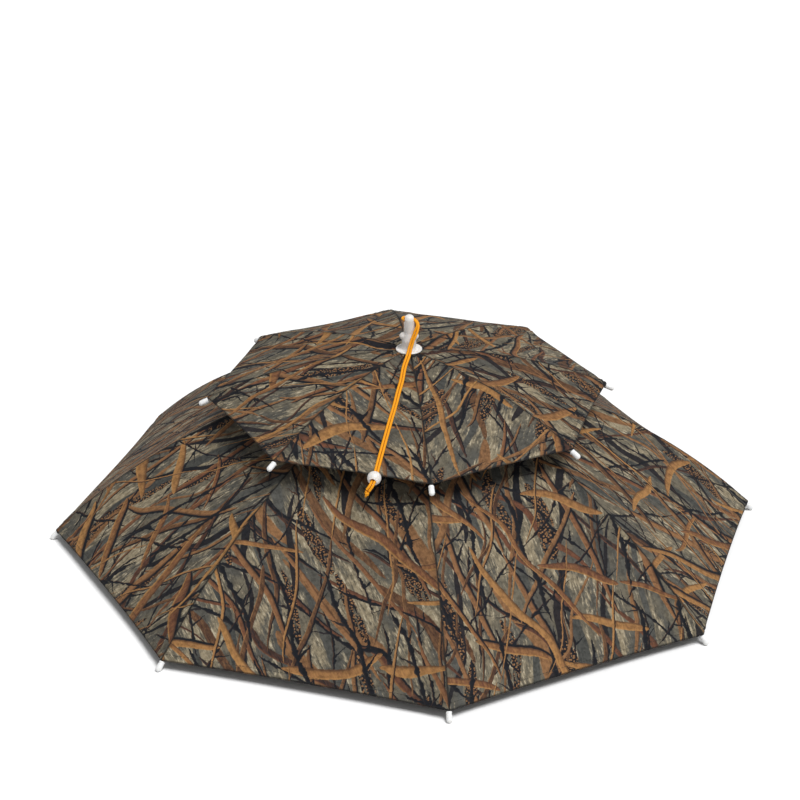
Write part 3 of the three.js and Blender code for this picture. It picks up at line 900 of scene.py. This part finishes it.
def panel_corners(values, corners, ring_size, panel_size):
    """One value a face corner. A panel's last faces carry on its own print."""
    panel = corners % ring_size // panel_size
    crossing = panel[:, 0] != panel[:, 2]
    out = values[corners]
    for corner, beside in ((2, 1), (3, 0)):
        here = corners[crossing, beside]
        out[crossing, corner] = 2 * values[here] - values[here - 1]
    return out


def cloth_shell(name, canopy, row_count):
    """A closed shell of both faces, and which of its polygons are on the underside."""
    upper, lower = canopy.face(row_count, 0.0), canopy.face(row_count, CLOTH)
    rings = upper + [canopy.ring(1.0, CLOTH / 2, RIM_SWELL)] + lower[::-1]
    points, prints, edges, run = (np.vstack(part) * MM for part in zip(*rings))
    size = PANELS * canopy.panel_size
    obj = mesh_object(name, points, ring_faces(len(rings), size))
    corners = corner_vertices(obj).reshape(-1, 4)
    give_uv(obj, "print", panel_corners(prints, corners, size, canopy.panel_size))
    give_uv(obj, "edges", edges[corners])
    give_uv(obj, "run", panel_corners(run, corners, size, canopy.panel_size))
    ring = corners[:, 0] // size
    return obj, (ring >= len(upper)) & (ring < len(rings) - 1)


def cloth_piece(name, node, sheet_size, print_tree, row_count, **spec):
    obj, underside = cloth_shell(name, Canopy(**spec), row_count)
    top = cloth_material(name + " print", print_tree)
    obj.data.materials.append(top)
    obj.data.materials.append(cloth_material(name + " reverse", print_tree, under=True))
    obj.data.polygons.foreach_set("material_index", underside.astype(np.int32))
    finish_piece(obj, top, name, node)


def make_cloths():
    print_tree = print_group()
    cloth_piece("lower_cloth", "lower_canopy", 0.85, print_tree, 96, arc=LOWER_ARC,
                start=angle_at(LOWER_ARC, 0, VENT_RADIUS), dip=6.0, rim_dip=2.0, scallop=4.0,
                middle_columns=26, collar=None, turns=(12, -24, 31, -8, 18, -35, 6, -16), seed=7)
    cloth_piece("upper_cloth", "upper_canopy", 0.45, print_tree, 70, arc=UPPER_ARC,
                start=UPPER_ARC["start"], dip=3.0, rim_dip=1.0, scallop=3.0, middle_columns=20,
                collar=POST_RADIUS + GAP, turns=(-30, 14, 74, -12, 22, -48, 35, 8), seed=19)


# Frame

def rib_path(arc, steps):
    """The middle of a rib, from beside the hub into the socket of its tip."""
    inner = angle_at(arc, RIB_INSET, HUB_RADIUS + GAP)
    outer = arc["end"] - (GAP + SOCKET) / arc["radius"]
    r, z = on_arc(arc, RIB_INSET, np.linspace(inner, outer, steps))
    return np.stack([r, np.zeros_like(r), z], 1) * MM


def stretcher_path():
    low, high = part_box("stretcher_1")
    y, radius, short = (low.y + high.y) / 2, STRETCHER_RADIUS * MM, 0.2 * MM
    inner = np.array((low.x + short, y, low.z + radius))
    outer = np.array((high.x - short, y, high.z - radius))
    return np.linspace(inner, outer, 12)


def make_ribs(steel):
    rods = (("long_rib", rib_path(LOWER_ARC, 48), RIB_RADIUS),
            ("short_rib", rib_path(UPPER_ARC, 28), RIB_RADIUS),
            ("stretcher", stretcher_path(), STRETCHER_RADIUS))
    for k in range(PANELS):
        for name, path, radius in rods:
            rod = tube(f"{name}_rod_{k + 1}", path, radius * MM, 12)
            finish_piece(turned(rod, SECTOR * k), steel, "rib_steel", f"{name}_{k + 1}")


def tip_profile():
    bore, groove = RIB_RADIUS + GAP, TIP_RADIUS - 0.3
    socket_end = SOCKET + 2 * GAP
    collar = [(bore, 0), (TIP_RADIUS - 0.35, 0), (TIP_RADIUS, 0.35), (TIP_RADIUS, 1.7),
              (groove, 2.1), (groove, 2.6), (TIP_RADIUS, 3.1), (TIP_RADIUS, SOCKET)]
    dome = round_profile(TIP_RADIUS, TIP_LENGTH - TIP_RADIUS, 0, math.pi / 2)[:-1]
    return collar + dome + [(0, TIP_LENGTH), (0, socket_end), (bore, socket_end)]


def make_tips(white):
    for kind, arc in (("lower", LOWER_ARC), ("upper", UPPER_ARC)):
        r, z = on_arc(arc, RIB_INSET, arc["end"])
        slope = math.pi / 2 - arc["end"]
        foot = Vector((r + GAP * math.cos(slope), 0, z - GAP * math.sin(slope))) * MM
        move = Matrix.Translation(foot) @ Matrix.Rotation(math.pi / 2 + slope, 4, "Y")
        for k in range(PANELS):
            cap = lathe(f"{kind}_tip_cap_{k + 1}", tip_profile(), 24, closed=True)
            cap.data.transform(move)
            finish_piece(turned(cap, SECTOR * k), white, "tip_plastic", f"{kind}_tip_{k + 1}")


def make_hub(white):
    bore = POST_RADIUS + GAP
    low, high = HUB_BOTTOM + 8, HUB_TOP - 7
    outline = [(bore, HUB_BOTTOM), (HUB_RADIUS - 1, HUB_BOTTOM), (HUB_RADIUS, HUB_BOTTOM + 1),
               (HUB_RADIUS, low), (HUB_WAIST_RADIUS, low + 1), (HUB_WAIST_RADIUS, high - 1),
               (HUB_RADIUS, high), (HUB_RADIUS, HUB_TOP), (bore, HUB_TOP)]
    finish_piece(lathe("hub_spool", rounded(outline, 0.4), 64, closed=True), white,
                 "white_plastic", "hub")


def make_runner(white):
    bore, groove = POST_RADIUS + GAP, RUNNER_RADIUS - 0.7
    top, middle = RUNNER_BOTTOM + RUNNER_HEIGHT, RUNNER_BOTTOM + RUNNER_HEIGHT / 2
    outline = [(bore, RUNNER_BOTTOM), (RUNNER_RADIUS - 1, RUNNER_BOTTOM),
               (RUNNER_RADIUS, RUNNER_BOTTOM + 1), (RUNNER_RADIUS, middle - 2.6),
               (groove, middle - 2), (groove, middle + 2), (RUNNER_RADIUS, middle + 2.6),
               (RUNNER_RADIUS, top - 1), (RUNNER_RADIUS - 1, top), (bore, top)]
    runner = lathe("runner_ring", rounded(outline, 0.35), 64, closed=True)
    finish_piece(runner, white, "white_plastic", "runner")


# Headband and straps

BAND_RIBS = 262
BAND_RIB_DEPTH = 0.13


def band_section():
    corners = [(0, 0.5), (0, 1), (1, 1), (1, 0), (0, 0), (0, 0.5)]
    section = [(BAND_RADIUS + across * BAND_WALL, BAND_LOW + up * BAND_HEIGHT)
               for across, up in rounded(corners, 0.42, 3)]
    return divided(section, 3.5)


def make_headband(elastic):
    columns = BAND_RIBS * 4
    section = band_section()
    points, uv = [], []
    for r, z in section:
        outwards = 1 if r > BAND_RADIUS + BAND_WALL / 2 else -1
        for k in range(columns):
            a = 2 * math.pi * k / columns
            rib = BAND_RIB_DEPTH * (math.cos(a * BAND_RIBS) - 1) * outwards
            slack = 0.125 * math.sin(9 * a + 0.04 * z) * math.sin(4 * a + 1.3)
            reach = (r + rib + slack) * MM
            points.append((reach * math.cos(a), reach * math.sin(a), z * MM))
            uv.append((min(a, 2 * math.pi - a) * BAND_RADIUS * MM, z * MM))
    band = mesh_object("headband_elastic", points, ring_faces(len(section), columns))
    give_vertex_uv(band, "UVMap", uv)
    finish_piece(band, elastic, "elastic_band", "headband")


def strap_route():
    """The middle of a strap: up the band, across to a long rib, and along under it."""
    outside, top = BAND_RADIUS + BAND_WALL, BAND_LOW + BAND_HEIGHT
    foot = outside + GAP + STRAP_WALL / 2
    inset = RIB_INSET + RIB_RADIUS + GAP + STRAP_WALL / 2
    head_angle = angle_at(LOWER_ARC, RIB_INSET, outside + STRAP_SPREAD)
    head = on_arc(LOWER_ARC, inset, head_angle)
    end = on_arc(LOWER_ARC, inset, head_angle - STRAP_HEAD / LOWER_ARC["radius"])
    route = rounded([(foot, top - STRAP_FOOT), (foot, top - 0.5), head, end], 3.0, 6)
    return np.array(divided(route, 2) + [route[-1]], float)


def strap_web(name):
    """A woven strap in the plane y = 0, and its length in millimetres."""
    path = strap_route()
    along = lengths_along(path)
    half, wall = STRAP_WIDTH / 2, STRAP_WALL / 2
    corners = [(-half, 0), (-half, wall), (half, wall), (half, -wall), (-half, -wall), (-half, 0)]
    section = rounded(corners, 0.6, 3)[:-1]
    points, uv = [], []
    for (r, z), (step_r, step_z), s in zip(path, directions(path), along):
        for y, h in section:
            points.append(((r + step_z * h) * MM, y * MM, (z - step_r * h) * MM))
            uv.append((y * MM, s * MM))
    strap = mesh_object(name, points, capped_faces(len(path), len(section)))
    give_vertex_uv(strap, "UVMap", uv)
    return strap, along[-1]


def make_straps(webbing):
    for k in range(STRAPS):
        strap, length = strap_web(f"band_strap_web_{k + 1}")
        turned(strap, SECTOR * (2 * k + 1))
        finish_piece(strap, webbing, "strap_webbing", f"band_strap_{k + 1}")


# Finial, bead, knot and cord

# Dished flange, fillet and neck: radius, and height above the underside of the flange
FLANGE_AND_NECK = ((13.4, 0), (14.2, 0.9), (14.2, 1.5), (13.5, 2.4), (11.5, 1.9), (8.6, 2.4),
                   (7.7, 4.2), (7.6, 12), (SHAFT_RADIUS, 20.4))


def finial_body():
    shaft_end = FINIAL_BASE + FINIAL_HEIGHT - SHAFT_RADIUS
    outline = [(0, POST_BOTTOM), (POST_RADIUS, POST_BOTTOM), (POST_RADIUS, FINIAL_BASE)]
    outline += [(r, FINIAL_BASE + rise) for r, rise in FLANGE_AND_NECK]
    outline = rounded(outline + [(SHAFT_RADIUS, shaft_end)], 0.7)
    dome = round_profile(SHAFT_RADIUS, shaft_end, 0.12, math.pi / 2)
    return lathe("finial_body", outline + dome, 64)


def across_finial(name, profile, sides, rise):
    """A body turned about X, at a height above the underside of the flange."""
    obj = lathe(name, profile, sides)
    obj.data.transform(Matrix.Translation((0, 0, (FINIAL_BASE + rise) * MM))
                       @ Matrix.Rotation(math.pi / 2, 4, "Y"))
    return obj


def finial_cleat():
    reach = CLEAT_SPAN / 2 - CLEAT_RADIUS
    profile = round_profile(CLEAT_RADIUS, -reach, -math.pi / 2, 0)
    profile += round_profile(CLEAT_RADIUS, reach, 0, math.pi / 2)
    return across_finial("finial_cleat", profile, 40, CLEAT_RISE)


def finial_drill():
    half = [(CORD_HOLE_RADIUS, 3), (2.9, 4.6), (3.9, 6.3), (0, 6.3)]
    profile = [(r, -z) for r, z in half[::-1]] + half
    return across_finial("finial_drill", profile, 32, FINIAL_HEIGHT - CORD_HOLE_DROP)


def make_finial(milky):
    """One moulding: the parts are joined, and the joins softened by a remesh."""
    body, cleat, drill = finial_body(), finial_cleat(), finial_drill()
    for other, operation in ((cleat, "UNION"), (drill, "DIFFERENCE")):
        made = body.modifiers.new(operation, "BOOLEAN")
        made.operation, made.solver, made.object = operation, "EXACT", other
    remesh = body.modifiers.new("remesh", "REMESH")
    remesh.mode, remesh.voxel_size = "VOXEL", 0.42 * MM
    blur = body.modifiers.new("blur", "SMOOTH")
    blur.factor, blur.iterations = 0.5, 4
    graph = bpy.context.evaluated_depsgraph_get()
    mesh = bpy.data.meshes.new_from_object(body.evaluated_get(graph))
    body.modifiers.clear()
    body.data = mesh
    for other in (cleat, drill):
        bpy.data.objects.remove(other)
    mesh.shade_smooth()
    turned(body, math.radians(FINIAL_TURN))
    finish_piece(body, milky, "milky_plastic", "finial")


def along_axis(obj, place, direction):
    turn = Vector((0, 0, 1)).rotation_difference(Vector(direction).normalized())
    obj.data.transform(Matrix.Translation(Vector(place) * MM) @ turn.to_matrix().to_4x4())
    return obj


def make_bead(milky):
    mouth = math.asin(BEAD_BORE / BEAD_RADIUS)
    reach = math.pi / 2 - mouth - 0.06
    end = BEAD_RADIUS * math.cos(mouth)
    profile = round_profile(BEAD_RADIUS, 0, -reach, reach, 40)
    profile += [(BEAD_BORE + 0.12, end - 0.02), (BEAD_BORE, end - 0.35),
                (BEAD_BORE, 0.35 - end), (BEAD_BORE + 0.12, 0.02 - end)]
    bead = lathe("cord_bead_ball", profile, 56, closed=True)
    return finish_piece(along_axis(bead, BEAD_PLACE, BEAD_DIRECTION), milky,
                        "bead_plastic", "cord_bead")


def make_knot(cord):
    """An overhand knot: the end winds round both strands and pokes out below."""
    turns, wind_radius, wind_length = 1.7, 1.35, 3.0
    path = []
    for t in np.linspace(0, 1, 44):
        a = 2 * math.pi * turns * t
        path.append((wind_radius * math.cos(a), wind_radius * math.sin(a), 0.9 + wind_length * t))
    path += [(0.9, -0.9, 4.4), (0.35, -0.4, 5.1), (0.1, -0.1, 5.9), (0.0, 0.0, 6.4)]
    route = smooth_route(np.array(path) * MM, 3)
    knot = tube("cord_knot_tied", route, 1.05 * MM, 14, round_ends=True)
    return finish_piece(along_axis(knot, KNOT_PLACE, KNOT_DIRECTION), cord,
                        "cord_elastic", "cord_knot")


def make_cords(cord, bead, knot):
    for side, route, length in (("right", RIGHT_STRAND, 0.259), ("left", LEFT_STRAND, 0.286)):
        path = smooth_route(np.array(route) * MM, 7)
        strand = tube(f"cord_{side}_strand", path, CORD / 2 * MM, 18)
        finish_piece(strand, cord, "cord_elastic", f"cord_{side}")


def main():
    make_camera()
    cord = cord_material()
    milky = plastic_material("milky plastic", (0.70, 0.67, 0.64), 0.28, 0.5)
    make_cords(cord, make_bead(milky), make_knot(cord))
    make_floor()
    make_light()
    make_cloths()
    make_ribs(steel_material())
    make_tips(plastic_material("tip plastic", (0.76, 0.76, 0.75), 0.3, 0.15))
    white = plastic_material("white plastic", (0.78, 0.78, 0.76), 0.35, 0.1)
    make_hub(white)
    make_runner(white)
    make_headband(woven_material("elastic", (0.008, 0.008, 0.009), (0.03, 0.03, 0.033), 2.2, 1.6))
    make_straps(woven_material("webbing", (0.01, 0.01, 0.011), (0.045, 0.045, 0.05), 1.6))
    make_finial(milky)


main()
